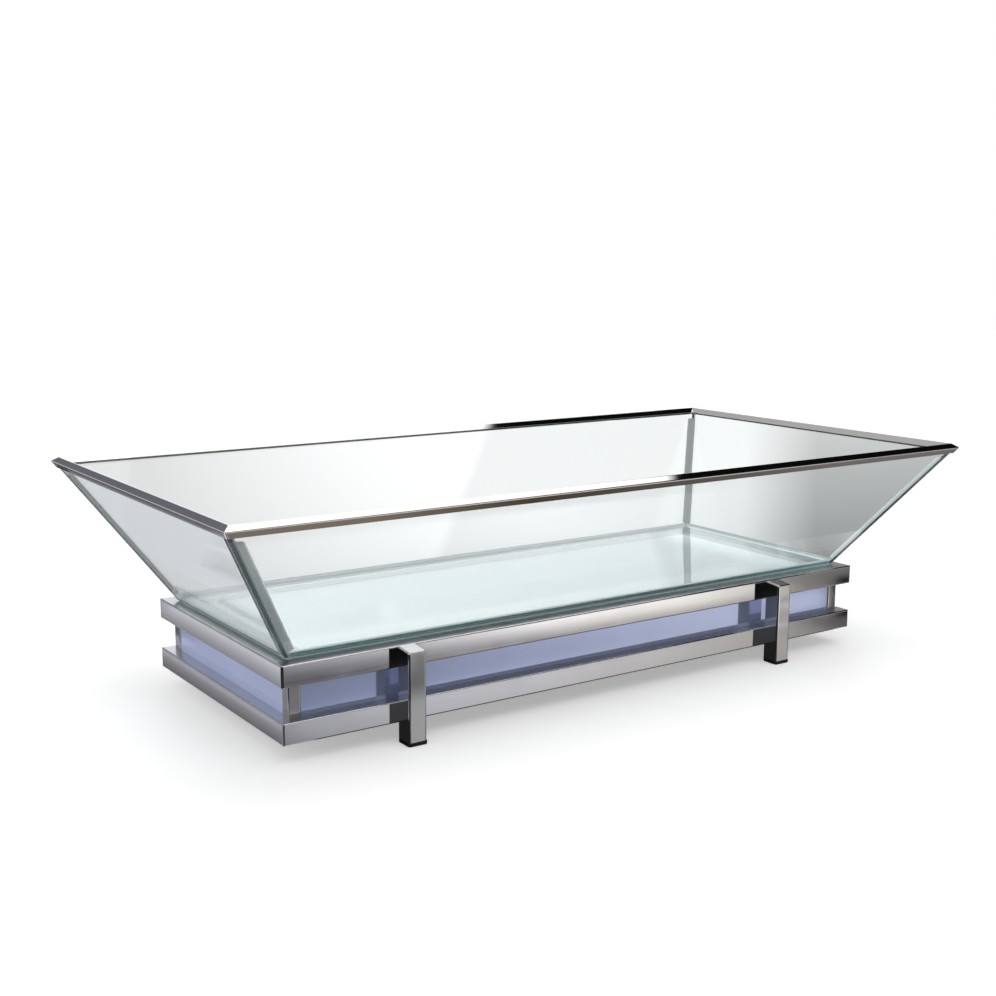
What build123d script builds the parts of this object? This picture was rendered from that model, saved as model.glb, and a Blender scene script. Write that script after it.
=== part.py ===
from build123d import *
import math
import os

# A lit ice trough for a buffet: an open trough of float glass with flared walls and a steel rim,
# standing loose on a low stand of polished box section with a translucent light band.
# Millimetres, +Z up, +X along the length, the front at -Y, the origin on the floor under the middle.

# Stand
base_length = 1050.0
base_width = 420.0
floor_gap = 27.0  # floor to the underside of the lower rails
band_height = 46.5  # light band between the two rail frames

# Box section of the rails, laid flat and mitred
rail_width = 50.0
rail_height = 30.0
rail_wall = 1.5
rail_radius = 2.0  # long edges of the section
weld_radius = 3.0  # dressed welds on the outer corners of a rail frame

# Square tubes between the rail frames
post_size = 18.0
post_wall = 1.2
post_radius = 1.5
post_recess = 16.0  # behind the outer faces of the rails

# Translucent sheets of the light band
panel_thickness = 5.0
panel_setback = 2.0  # behind the faces of the posts
panel_clearance = 0.5

# Legs, against the outside of the front and back rails
leg_size = 27.5
leg_wall = 1.5
leg_radius = 3.0  # the two free upright edges; those at the rails are welded full and stay square
leg_from_end = 184.0  # middle of a leg from the outer faces of the end rails
leg_drop = 0.5  # top of a leg below the top of the rails
leg_top_radius = 2.5
leg_top_fall = 6.0  # degrees that the top slopes down to the front
leg_cap = 6.0  # solid metal above the bore, at the back of the leg

# Plastic feet, plugged into the legs
foot_height = 5.0
foot_lip = 1.2
foot_chamfer = 1.0
plug_length = 18.0
plug_wall = 2.0
plug_clearance = 1.2
rib_thickness = 1.2
rib_clearance = 0.2
rib_count = 3

# Glass trough; its edges stand in from the outer faces of the rails by the two margins
end_margin = 17.0
side_margin = 24.0
glass_thickness = 10.0
wall_tilt = 33.5  # degrees from upright, the same on all four walls
wall_slope = 245.0  # underside of the glass to the top of the rim, along the slope
bond_gap = 0.3
corner_dub = 6.0  # outer corners of the long walls ground off by this much

# Rim channel, square to the glass
rim_wall = 1.2
rim_clearance = 0.3
rim_depth = 11.0
rim_edge_radius = 2.0
rim_corner_radius = 3.0

# Silicone seals inside the trough
floor_seal_leg = 4.5
corner_seal_leg = 9.0
seal_hollow = 1.2  # how far a seal's face is drawn in
seal_flat_count = 4  # flats that make up the hollow face of the floor's seal
corner_seal_drop = 7.0  # top of a corner seal below the rim
seal_end_radius = 2.0

# Clear pads under the glass
pad_diameter = 10.0
pad_thickness = 1.0
pad_inset = 16.0  # middle of a pad from the edges of the glass
pad_row_count = 5
pad_end_count = 3

# Diffuser sheet in the opening of the upper rails, and the angles that carry it
diffuser_thickness = 5.0
diffuser_drop = 8.0  # below the top of the rails
diffuser_clearance = 1.5
ledge_leg = 15.0
ledge_wall = 1.5
ledge_end_gap = 20.0

# Bottom cover and its screws
cover_thickness = 1.0
cover_lap = 20.0  # over the underside of the lower rails
screw_diameter = 4.0
screw_length = 8.0
screw_head_diameter = 8.0
screw_head_height = 2.6
screw_clearance = 0.2
screw_slot_length = 4.4
screw_slot_width = 1.0
screw_slot_depth = 1.3
screw_row_count = 4
screw_end_count = 2

# Light strips on top of the lower rails
strip_width = 10.0
strip_thickness = 0.6
strip_inset = 36.0  # middle of a strip behind the outer faces of the rails
strip_end_gap = 55.0
lamp_size = 5.0
lamp_height = 1.6
lamp_pitch = 1000.0 / 60.0
link_diameter = 2.0
link_bend = 12.0

# Rocker switch in the back of the lower rail
switch_from_end = 85.0
bezel_length = 23.0
bezel_height = 15.0
bezel_thickness = 1.6
bezel_radius = 1.5
housing_length = 20.0
housing_height = 12.6
housing_depth = 14.0
cutout_clearance = 0.3
rocker_reach = 8.2  # pivot to the ends of the rocker
rocker_height = 9.6
rocker_rise = 3.0  # pivot to the valley of its face
rocker_keel = 3.0  # pivot to its flat back
rocker_wing = 10.0  # degrees, each wing of the face, and half the throw
rocker_clearance = 0.45
pivot_depth = 1.4  # behind the face of the bezel
trunnion_diameter = 2.0
trunnion_length = 0.9
trunnion_clearance = 0.06
blade_width = 4.8
blade_thickness = 0.8
blade_length = 7.0
blade_spacing = 10.0

# Low-voltage inlet beside the switch
inlet_from_end = 125.0
inlet_diameter = 8.0
inlet_flange_diameter = 12.0
inlet_flange_thickness = 2.0
inlet_length = 13.0
inlet_bore_diameter = 6.0
inlet_bore_depth = 9.0
inlet_pin_diameter = 2.0
inlet_pin_length = 8.0
inlet_clearance = 0.15
nut_width = 11.0
nut_thickness = 2.5

# Leads inside the stand
lead_diameter = 3.0
lead_bend = 6.0
lead_run = 11.0  # lead behind the ends of the switch's blades
grommet_diameter = 9.0
grommet_bore = 3.4
grommet_flange = 1.2
grommet_neck = 6.0
connector_length = 12.0
connector_height = 6.0

# Heights and places that follow from the sizes above
lower_bottom = floor_gap
lower_top = lower_bottom + rail_height
upper_bottom = lower_top + band_height
upper_top = upper_bottom + rail_height
half_x = base_length / 2
half_y = base_width / 2
glass_bottom = upper_top + pad_thickness
glass_x = half_x - end_margin  # half the glass, over the outer faces at its underside
glass_y = half_y - side_margin
floor_top = glass_bottom + glass_thickness
lean = math.sin(math.radians(wall_tilt))
rise = math.cos(math.radians(wall_tilt))
rim_outset = rim_clearance + rim_wall
glass_slope = wall_slope - rim_outset
overrun = 2 * wall_slope  # spare length on a bar before its ends are cut

turns = {"front": 0, "right": 90, "back": 180, "left": 270}
corners = {"front_left": (-1, -1), "front_right": (1, -1), "back_right": (1, 1), "back_left": (-1, 1)}


def spans(side, along_x, along_y):
    """Half the run of a side and its distance from the middle, for a ring of these half sizes."""
    return (along_x, along_y) if side in ("front", "back") else (along_y, along_x)


def turned(side, piece):
    """A piece drawn at the front, turned to its own side of the stand."""
    return Rot(0, 0, turns[side]) * piece


def mitred_bar(section, run, out):
    """A bar along the front of a ring, mitred at both ends.

    The section is drawn as (inward from the line at distance out, height).
    """
    bar = extrude(Plane.YZ * Pos(-out, 0) * section, amount=run + overrun, both=True)
    for end in (-1, 1):
        mitre = Plane(origin=(end * run, -out, 0), z_dir=(end, 1, 0))
        bar = split(bar, bisect_by=mitre, keep=Keep.BOTTOM)
    return bar


def on_wall(along, inward):
    """A point of a wall's section: along the slope, and inward from the outer face of the glass."""
    return (-along * lean + inward * rise, glass_bottom + along * rise + inward * lean)


def tube_section(width, height, wall, radius):
    inner = RectangleRounded(width - 2 * wall, height - 2 * wall, max(radius - wall, 0.3))
    return RectangleRounded(width, height, radius) - inner


def weld_dressing(end_x, end_y, bottom):
    """What grinding takes off the outer corner of a rail frame."""
    centre = Pos(end_x * (half_x - weld_radius), end_y * (half_y - weld_radius), bottom + rail_height / 2)
    block = Pos(end_x * weld_radius, end_y * weld_radius, 0) * Box(
        2 * weld_radius, 2 * weld_radius, 2 * rail_height
    )
    return centre * (block - Cylinder(weld_radius, 2 * rail_height))


def rail(side, bottom):
    run, out = spans(side, half_x, half_y)
    section = Pos(rail_width / 2, bottom + rail_height / 2) * tube_section(
        rail_width, rail_height, rail_wall, rail_radius
    )
    bar = turned(side, mitred_bar(section, run, out))
    for end_x, end_y in corners.values():
        bar -= weld_dressing(end_x, end_y, bottom)
    return bar


def corner_post(end_x, end_y):
    reach = post_recess + post_size / 2
    section = tube_section(post_size, post_size, post_wall, post_radius)
    tube = extrude(section, amount=band_height)
    return Pos(end_x * (half_x - reach), end_y * (half_y - reach), lower_top) * tube


def light_panel(side):
    run, out = spans(side, half_x, half_y)
    length = 2 * (run - post_recess - post_size - panel_clearance)
    height = band_height - panel_clearance
    face = out - post_recess - panel_setback
    sheet = Pos(0, panel_thickness / 2 - face, lower_top + height / 2) * Box(length, panel_thickness, height)
    return turned(side, sheet)


def leg(end_x, end_y):
    top = upper_top - leg_drop
    outline = Rectangle(leg_size, leg_size)
    outline = fillet(outline.vertices().group_by(Axis.Y)[0], leg_radius)
    outer = extrude(outline, amount=top - foot_height)
    fall = math.radians(leg_top_fall)
    slope = Plane(origin=(0, leg_size / 2, top - foot_height), z_dir=(0, -math.sin(fall), math.cos(fall)))
    outer = split(outer, bisect_by=slope, keep=Keep.BOTTOM)
    free_edges = outer.faces().sort_by(Axis.Z)[-1].edges().sort_by(Axis.Y)[:-1]
    outer = fillet(free_edges, leg_top_radius)
    bore = leg_size - 2 * leg_wall
    hollow = extrude(
        RectangleRounded(bore, bore, max(leg_radius - leg_wall, 0.3)), amount=top - foot_height - leg_cap
    )
    facing = Rot(0, 0, 180 if end_y > 0 else 0)
    place = Pos(end_x * (half_x - leg_from_end), end_y * (half_y + leg_size / 2), foot_height)
    return place * facing * (outer - hollow)


def foot(end_x, end_y):
    """A plastic plug: a tread under the leg, and a hollow ribbed stem inside it."""
    tread_size = leg_size + 2 * foot_lip
    tread = extrude(RectangleRounded(tread_size, tread_size, leg_radius + foot_lip), amount=foot_height)
    tread = chamfer(tread.faces().sort_by(Axis.Z)[0].edges(), foot_chamfer)
    bore = leg_size - 2 * leg_wall
    stem_size = bore - 2 * plug_clearance
    stem = extrude(tube_section(stem_size, stem_size, plug_wall, 1.0), amount=plug_length)
    plug = tread + Pos(0, 0, foot_height) * stem
    rib_size = bore - 2 * rib_clearance
    for index in range(rib_count):
        height = foot_height + plug_length * (index + 0.5) / rib_count
        rib = extrude(tube_section(rib_size, rib_size, plug_wall, 1.0), amount=rib_thickness)
        plug += Pos(0, 0, height) * rib
    return Pos(end_x * (half_x - leg_from_end), end_y * (half_y + leg_size / 2), 0) * plug


def end_cut(wall, run, inset):
    """Cut a wall's ends to the slope of its neighbours, inset from their outer faces."""
    for end in (-1, 1):
        cut = Plane(origin=(end * (run - inset), 0, glass_bottom), z_dir=(end * rise, 0, -lean))
        wall = split(wall, bisect_by=cut, keep=Keep.BOTTOM)
    return wall


def dub_plane(end, run, out, outset):
    """The plane that grinds off an outer corner of the glass, moved outwards by outset."""
    spread = math.sqrt(rise**2 + 2 * lean**2)
    outward = Vector(end * rise, -rise, -2 * lean) / (math.sqrt(2) * spread)
    depth = corner_dub * rise / (math.sqrt(2) * spread)
    corner = Vector(end * run, -out, glass_bottom)
    return Plane(origin=corner - outward * (depth - outset), z_dir=outward)


def glass_wall(side):
    """A wall cut square at the top and level at the bottom; the end walls fit between the long ones."""
    run, out = spans(side, glass_x, glass_y)
    section = make_face(
        Polyline(
            on_wall(0, 0),
            on_wall(glass_slope, 0),
            on_wall(glass_slope, glass_thickness),
            (glass_thickness / rise, glass_bottom),
            close=True,
        )
    )
    wall = extrude(Plane.YZ * Pos(-out, 0) * section, amount=run + overrun, both=True)
    if side in ("front", "back"):
        wall = end_cut(wall, run, 0)
        for end in (-1, 1):
            top = (end * (run + glass_slope * lean), 0, glass_bottom + glass_slope * rise)
            nip = Plane(origin=top, z_dir=(end * lean, 0, rise))
            wall = split(wall, bisect_by=nip, keep=Keep.BOTTOM)
            wall = split(wall, bisect_by=dub_plane(end, run, out, 0), keep=Keep.BOTTOM)
    else:
        wall = end_cut(wall, run, (glass_thickness + bond_gap) / rise)
    return turned(side, wall)


def glass_floor():
    """The floor plate, bevelled to lie between the walls."""
    inset = (glass_thickness + bond_gap) / rise
    flare = glass_thickness * lean / rise
    under = Pos(0, 0, glass_bottom) * Rectangle(2 * (glass_x - inset), 2 * (glass_y - inset))
    over = Pos(0, 0, floor_top) * Rectangle(2 * (glass_x - inset + flare), 2 * (glass_y - inset + flare))
    return loft([under, over], ruled=True)


def rim_rounding(end, run, out):
    """What rounding takes off an outer corner of the rim: a wedge along the corner less a cylinder."""
    spread = math.sqrt(rise**2 + 2 * lean**2)
    along = Vector(end * lean, -lean, rise) / spread
    outward = Vector(end * rise, -rise, -2 * lean) / (math.sqrt(2) * spread)
    half_angle = math.acos(lean**2) / 2
    reach = rim_outset / math.cos(half_angle)
    corner = Vector(end * run, -out, glass_bottom) + outward * reach
    depth = rim_corner_radius * (1 / math.cos(half_angle) - math.cos(half_angle))
    frame = Plane(origin=corner, x_dir=along.cross(outward), z_dir=along)
    inward = -1 if frame.y_dir.dot(outward) > 0 else 1
    middle = Pos(0, 0, wall_slope)
    wedge = Pos(0, inward * (depth / 2 - depth), 0) * Box(8 * depth, 3 * depth, 2 * wall_slope)
    bar = Pos(0, inward * rim_corner_radius / math.cos(half_angle), 0) * Cylinder(
        rim_corner_radius, 3 * wall_slope
    )
    return frame * middle * (wedge - bar)


def rim(side):
    """A channel over the top edge of a wall, mitred, with the outer corners rounded."""
    run, out = spans(side, glass_x, glass_y)
    low = wall_slope - rim_depth
    over = glass_thickness + rim_outset
    outline = make_face(
        Polyline(
            on_wall(low, -rim_outset),
            on_wall(wall_slope, -rim_outset),
            on_wall(wall_slope, over),
            on_wall(low, over),
            close=True,
        )
    )
    tops = outline.vertices().sort_by(Axis.Y)[-2:]
    outline = fillet(tops, rim_edge_radius)
    slot = make_face(
        Polyline(
            on_wall(low - rim_wall, -rim_clearance),
            on_wall(wall_slope - rim_wall, -rim_clearance),
            on_wall(wall_slope - rim_wall, glass_thickness + rim_clearance),
            on_wall(low - rim_wall, glass_thickness + rim_clearance),
            close=True,
        )
    )
    bar = mitred_bar(outline, run, out)
    groove = mitred_bar(slot, run, out)
    for end in (-1, 1):
        groove = split(groove, bisect_by=dub_plane(end, run, out, rim_clearance), keep=Keep.BOTTOM)
    bar -= groove
    for end in (-1, 1):
        bar -= rim_rounding(end, run, out)
    return turned(side, bar)


def hollow_arc(origin, first, second):
    """The face of a seal between two walls, drawn in towards the corner between them."""
    middle = (first + second) * 0.5
    drawn = middle + (origin - middle).normalized() * seal_hollow
    return ThreePointArc(first, drawn, second)


def bead(origin, first, second):
    """A seal's section with a hollow face."""
    return make_face([Line(origin, first), hollow_arc(origin, first, second), Line(second, origin)])


def flat_bead(origin, first, second):
    """The same section with its hollow face in a few flats."""
    arc = hollow_arc(origin, first, second)
    face = [arc @ (index / seal_flat_count) for index in range(seal_flat_count + 1)]
    return make_face(Polyline(origin, *face, close=True))


def floor_seal():
    """One ring of silicone round the floor, up against the walls."""
    inward = (glass_thickness - glass_thickness * lean) / rise
    section = flat_bead(
        Vector(inward, floor_top),
        Vector(inward + floor_seal_leg, floor_top),
        Vector(inward - floor_seal_leg * lean, floor_top + floor_seal_leg * rise),
    )
    ring = None
    for side in turns:
        run, out = spans(side, glass_x, glass_y)
        bar = turned(side, mitred_bar(section, run, out))
        ring = bar if ring is None else ring + bar
    return ring


def corner_seal(end_x, end_y, ring):
    """A bead up the corner between two walls, from the floor's seal to just below the rim."""
    inset = glass_thickness / rise
    corner = Vector(end_x * (glass_x - inset), end_y * (glass_y - inset), glass_bottom)
    spread = math.sqrt(rise**2 + 2 * lean**2)
    along = Vector(end_x * lean, end_y * lean, rise) / spread
    legs = []
    for way in (Vector(-end_x, 0, 0), Vector(0, -end_y, 0)):
        legs.append((way - along * way.dot(along)).normalized() * corner_seal_leg)
    frame = Plane(origin=corner, x_dir=legs[0], z_dir=along)
    first = Vector(corner_seal_leg, 0)
    second = Vector(legs[1].dot(frame.x_dir), legs[1].dot(frame.y_dir))
    length = (wall_slope - rim_depth - corner_seal_drop) * spread
    seal = extrude(frame * bead(Vector(0, 0), first, second), amount=length)
    tip = seal.faces().sort_by(Axis.Z)[-1].edges().filter_by(GeomType.CIRCLE)
    seal = fillet(tip, seal_end_radius)
    above_floor = Plane(origin=(0, 0, floor_top), z_dir=(0, 0, 1))
    return split(seal, bisect_by=above_floor, keep=Keep.TOP) - ring


def spaced(count, half):
    """Evenly spaced places from -half to half."""
    return [half * (2 * index / (count - 1) - 1) for index in range(count)]


def support_pads():
    """Pads on the rails under the edge of the glass, each place once."""
    far_x = glass_x - pad_inset
    far_y = glass_y - pad_inset
    places = [(x, end * far_y) for x in spaced(pad_row_count, far_x) for end in (-1, 1)]
    places += [(end * far_x, y) for y in spaced(pad_end_count, far_y)[1:-1] for end in (-1, 1)]
    pad = Pos(0, 0, pad_thickness / 2) * Cylinder(pad_diameter / 2, pad_thickness)
    return Compound(children=[Pos(x, y, upper_top) * pad for x, y in places])


def diffuser():
    height = upper_top - diffuser_drop - diffuser_thickness / 2
    length = base_length - 2 * rail_width - 2 * diffuser_clearance
    width = base_width - 2 * rail_width - 2 * diffuser_clearance
    return Pos(0, 0, height) * Box(length, width, diffuser_thickness)


def ledge(side):
    """An angle on the inner face of an upper rail, with its upper leg under the diffuser."""
    top = upper_top - diffuser_drop - diffuser_thickness
    length = base_length - 2 * rail_width - 2 * ledge_end_gap
    inner = rail_width - half_y
    plate = Pos(0, inner + ledge_leg / 2, top - ledge_wall / 2) * Box(length, ledge_leg, ledge_wall)
    web = Pos(0, inner + ledge_wall / 2, top - ledge_leg / 2) * Box(length, ledge_wall, ledge_leg)
    return turned(side, plate + web)


def screw_places():
    """Screws along the laps of the bottom cover."""
    lap = rail_width - cover_lap / 2
    far_x = half_x - lap
    far_y = half_y - lap
    places = [(x, end * far_y) for x in spaced(screw_row_count, far_x - cover_lap) for end in (-1, 1)]
    places += [(end * far_x, y) for y in spaced(screw_end_count, far_y - 2 * cover_lap) for end in (-1, 1)]
    return places


def screw_holes():
    hole = Cylinder(screw_diameter / 2 + screw_clearance, 4 * rail_wall)
    return [Pos(x, y, lower_bottom) * hole for x, y in screw_places()]


def bottom_cover():
    length = base_length - 2 * (rail_width - cover_lap)
    width = base_width - 2 * (rail_width - cover_lap)
    sheet = Pos(0, 0, lower_bottom - cover_thickness / 2) * Box(length, width, cover_thickness)
    return sheet - screw_holes()


def cover_screws():
    """Domed screws with a cross slot, up through the cover into the lower rails."""
    head = Pos(0, 0, -screw_head_height / 2) * Cylinder(screw_head_diameter / 2, screw_head_height)
    head = fillet(head.faces().sort_by(Axis.Z)[0].edges(), screw_head_height * 0.6)
    for turn in (0, 90):
        slot = Rot(0, 0, turn) * Box(screw_slot_length, screw_slot_width, 2 * screw_slot_depth)
        head -= Pos(0, 0, -screw_head_height) * slot
    screw = head + Pos(0, 0, screw_length / 2) * Cylinder(screw_diameter / 2, screw_length)
    under = lower_bottom - cover_thickness
    return Compound(children=[Pos(x, y, under) * screw for x, y in screw_places()])


def light_strip(side):
    """A flexible strip with its lamps; the back one has the connector of the feed lead."""
    run, out = spans(side, half_x, half_y)
    half_run = run - strip_end_gap
    strip = Pos(0, strip_inset - out, lower_top + strip_thickness / 2) * Box(
        2 * half_run, strip_width, strip_thickness
    )
    count = int(2 * (half_run - connector_length - lamp_pitch / 2) // lamp_pitch)
    lamp_bottom = lower_top + strip_thickness
    lamps = [
        Pos((index - (count - 1) / 2) * lamp_pitch, strip_inset - out, lamp_bottom + lamp_height / 2)
        * Box(lamp_size, lamp_size, lamp_height)
        for index in range(count)
    ]
    strip += lamps
    if side == "back":
        place = Pos(connector_length / 2 - half_run, strip_inset - out, lower_top + connector_height / 2)
        strip += place * Box(connector_length, strip_width, connector_height)
    return turned(side, strip)


def round_lead(points, diameter, bend):
    """A round lead along straight runs joined by arcs."""
    path = FilletPolyline(*points, radius=bend)
    start = Plane(origin=path @ 0, z_dir=path % 0)
    return sweep(start * Circle(diameter / 2), path=path)


def strip_links():
    """Links round the three corners that the feed doesn't use."""
    links = []
    height = lower_top + link_diameter / 2
    for end_x, end_y in ((-1, 1), (-1, -1), (1, -1)):
        near = strip_inset
        far = strip_end_gap
        points = [
            (end_x * (half_x - far), end_y * (half_y - near), height),
            (end_x * (half_x - near), end_y * (half_y - near), height),
            (end_x * (half_x - near), end_y * (half_y - far), height),
        ]
        links.append(round_lead(points, link_diameter, link_bend))
    return Compound(children=links)


rail_middle = lower_bottom + rail_height / 2
switch_x = half_x - switch_from_end
inlet_x = half_x - inlet_from_end
pivot_y = half_y + bezel_thickness - pivot_depth
blade_end_y = half_y - housing_depth - blade_length
lead_y = half_y - strip_inset
feed_x = half_x - strip_end_gap + lead_bend + lead_diameter


def switch_housing():
    """Bezel and body in one moulding, with a pocket and two bearings for the rocker."""
    bezel = extrude(
        Plane.XZ * RectangleRounded(bezel_length, bezel_height, bezel_radius), amount=-bezel_thickness
    )
    body = Pos(0, -housing_depth / 2, 0) * Box(housing_length, housing_depth, housing_height)
    pocket_length = 2 * (rocker_reach + rocker_clearance)
    pocket_height = rocker_height + 2 * rocker_clearance
    pocket_bottom = bezel_thickness - pivot_depth - rocker_reach
    depth = bezel_thickness - pocket_bottom
    pocket = Pos(0, pocket_bottom + depth, 0) * Box(pocket_length, 2 * depth, pocket_height)
    bearing = Pos(0, bezel_thickness - pivot_depth, 0) * Cylinder(
        trunnion_diameter / 2 + trunnion_clearance, pocket_height + 2 * trunnion_length
    )
    return Pos(switch_x, half_y, rail_middle) * (bezel + body - pocket - bearing)


def switch_rocker():
    """A drum segment on two trunnions; its face is a shallow valley, tipped to off."""
    drum = Cylinder(rocker_reach, rocker_height)
    wing = math.tan(math.radians(rocker_wing)) * rocker_reach
    profile = make_face(
        Polyline(
            (-rocker_reach, -rocker_keel),
            (rocker_reach, -rocker_keel),
            (rocker_reach, rocker_rise + wing),
            (0, rocker_rise),
            (-rocker_reach, rocker_rise + wing),
            close=True,
        )
    )
    rocker = drum & extrude(profile, amount=rocker_height, both=True)
    trunnion = Cylinder(
        trunnion_diameter / 2, rocker_height + 2 * (rocker_clearance + trunnion_length / 2)
    )
    return Pos(switch_x, pivot_y, rail_middle) * Rot(0, 0, -rocker_wing) * (rocker + trunnion)


def switch_blades():
    middle_y = half_y - housing_depth - blade_length / 2
    blade = Box(blade_thickness, blade_length, blade_width)
    places = [Pos(switch_x + end * blade_spacing / 2, middle_y, rail_middle) for end in (-1, 1)]
    return Compound(children=[place * blade for place in places])


def inlet():
    """A barrel socket: flange outside the rail, bore with its pin, closed at the back."""
    barrel = Pos(0, 0, -inlet_length / 2) * Cylinder(inlet_diameter / 2, inlet_length)
    flange = Pos(0, 0, inlet_flange_thickness / 2) * Cylinder(
        inlet_flange_diameter / 2, inlet_flange_thickness
    )
    bore_bottom = inlet_flange_thickness - inlet_bore_depth
    bore = Pos(0, 0, bore_bottom + inlet_bore_depth) * Cylinder(
        inlet_bore_diameter / 2, 2 * inlet_bore_depth
    )
    pin = Pos(0, 0, bore_bottom + inlet_pin_length / 2) * Cylinder(inlet_pin_diameter / 2, inlet_pin_length)
    outward = Plane(origin=(inlet_x, half_y, rail_middle), z_dir=(0, 1, 0))
    return outward * (barrel + flange - bore + pin)


def inlet_nut():
    inner_face = half_y - rail_wall
    outline = RegularPolygon(nut_width / 2, 6, major_radius=False) - Circle(
        inlet_diameter / 2 + inlet_clearance
    )
    inward = Plane(origin=(inlet_x, inner_face, rail_middle), z_dir=(0, -1, 0))
    return inward * extrude(outline, amount=nut_thickness)


def inlet_lead():
    """From the back of the inlet to the near blade of the switch."""
    run_y = blade_end_y - lead_run
    blade_x = switch_x - blade_spacing / 2
    points = [
        (inlet_x, half_y - inlet_length, rail_middle),
        (inlet_x, run_y, rail_middle),
        (blade_x, run_y, rail_middle),
        (blade_x, blade_end_y, rail_middle),
    ]
    return round_lead(points, lead_diameter, lead_bend)


def feed_lead():
    """From the far blade of the switch along the rail, up through the grommet to the strip."""
    blade_x = switch_x + blade_spacing / 2
    plug_z = lower_top + connector_height / 2
    points = [
        (blade_x, blade_end_y, rail_middle),
        (blade_x, lead_y, rail_middle),
        (feed_x, lead_y, rail_middle),
        (feed_x, lead_y, plug_z + lead_bend / 2),
        (half_x - strip_end_gap, lead_y, plug_z + lead_bend / 2),
    ]
    return round_lead(points, lead_diameter, lead_bend)


def feed_grommet():
    """A rubber ring in the top wall of the rail, with a flange on each side of it."""
    ring = Pos(0, 0, lower_top - rail_wall / 2) * Cylinder(grommet_neck / 2, rail_wall)
    for height in (lower_top + grommet_flange / 2, lower_top - rail_wall - grommet_flange / 2):
        ring += Pos(0, 0, height) * Cylinder(grommet_diameter / 2, grommet_flange)
    return Pos(feed_x, lead_y, 0) * (ring - Cylinder(grommet_bore / 2, 4 * lower_top))


def lower_rail(side):
    """A lower rail with the holes of the cover's screws; the back one carries switch, inlet and lead."""
    bar = rail(side, lower_bottom)
    bar -= screw_holes()
    if side == "back":
        window = Box(
            housing_length + 2 * cutout_clearance, 4 * rail_wall, housing_height + 2 * cutout_clearance
        )
        bar -= Pos(switch_x, half_y, rail_middle) * window
        socket = Cylinder(inlet_diameter / 2 + inlet_clearance, 4 * rail_wall)
        bar -= Pos(inlet_x, half_y, rail_middle) * Rot(90, 0, 0) * socket
        bar -= Pos(feed_x, lead_y, lower_top) * Cylinder(grommet_neck / 2, 4 * rail_wall)
    return bar


pieces = {}
for side in turns:
    pieces[f"upper_rail_{side}"] = rail(side, upper_bottom)
    pieces[f"lower_rail_{side}"] = lower_rail(side)
    pieces[f"light_panel_{side}"] = light_panel(side)
    pieces[f"light_strip_{side}"] = light_strip(side)
    pieces[f"glass_{side}"] = glass_wall(side)
    pieces[f"rim_{side}"] = rim(side)
for side in ("front", "back"):
    pieces[f"diffuser_ledge_{side}"] = ledge(side)
pieces["floor_seal"] = floor_seal()
for name, (end_x, end_y) in corners.items():
    pieces[f"corner_post_{name}"] = corner_post(end_x, end_y)
    pieces[f"leg_{name}"] = leg(end_x, end_y)
    pieces[f"foot_{name}"] = foot(end_x, end_y)
    pieces[f"corner_seal_{name}"] = corner_seal(end_x, end_y, pieces["floor_seal"])
pieces["glass_floor"] = glass_floor()
pieces["support_pads"] = support_pads()
pieces["diffuser"] = diffuser()
pieces["bottom_cover"] = bottom_cover()
pieces["cover_screws"] = cover_screws()
pieces["strip_links"] = strip_links()
pieces["switch_housing"] = switch_housing()
pieces["switch_rocker"] = switch_rocker()
pieces["switch_blades"] = switch_blades()
pieces["inlet"] = inlet()
pieces["inlet_nut"] = inlet_nut()
pieces["inlet_lead"] = inlet_lead()
pieces["feed_lead"] = feed_lead()
pieces["feed_grommet"] = feed_grommet()

os.makedirs("parts", exist_ok=True)
for name, piece in pieces.items():
    export_step(piece, f"parts/{name}.step")
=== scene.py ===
import itertools
import math

import bpy
import numpy as np
from mathutils import Euler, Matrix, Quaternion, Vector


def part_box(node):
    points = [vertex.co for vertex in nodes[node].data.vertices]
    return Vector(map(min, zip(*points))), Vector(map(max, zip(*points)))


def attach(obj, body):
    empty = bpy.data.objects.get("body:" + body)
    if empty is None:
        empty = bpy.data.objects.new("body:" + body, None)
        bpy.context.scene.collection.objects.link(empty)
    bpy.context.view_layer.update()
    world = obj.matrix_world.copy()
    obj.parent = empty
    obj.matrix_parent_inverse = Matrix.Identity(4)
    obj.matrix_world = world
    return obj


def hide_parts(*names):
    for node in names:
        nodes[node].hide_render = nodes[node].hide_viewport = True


# lit glass ice trough on a polished steel stand; metres, +X along the length, -Y the front, +Z up
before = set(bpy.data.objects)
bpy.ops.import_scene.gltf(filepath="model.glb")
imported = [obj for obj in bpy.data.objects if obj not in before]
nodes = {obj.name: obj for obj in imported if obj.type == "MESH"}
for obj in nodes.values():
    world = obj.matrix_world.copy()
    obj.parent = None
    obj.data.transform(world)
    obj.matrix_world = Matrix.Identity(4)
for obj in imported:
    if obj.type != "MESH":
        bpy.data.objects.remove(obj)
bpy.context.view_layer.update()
print("frame:", len(nodes), "nodes")

# each side by its turn from the front and by the axis it runs along, each corner by the signs of its X and Y
sideTurns = {"front": 0, "right": 90, "back": 180, "left": 270}
sideAxes = {"front": "X", "right": "Y", "back": "X", "left": "Y"}
cornerWays = {"front_left": (-1, -1), "front_right": (1, -1), "back_right": (1, 1), "back_left": (-1, 1)}


def srgb(hexText):  # sRGB hex to a linear colour
    parts = [int(hexText[i:i + 2], 16) / 255 for i in (1, 3, 5)]
    return [c / 12.92 if c <= 0.04045 else ((c + 0.055) / 1.055) ** 2.4 for c in parts] + [1.0]


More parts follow.
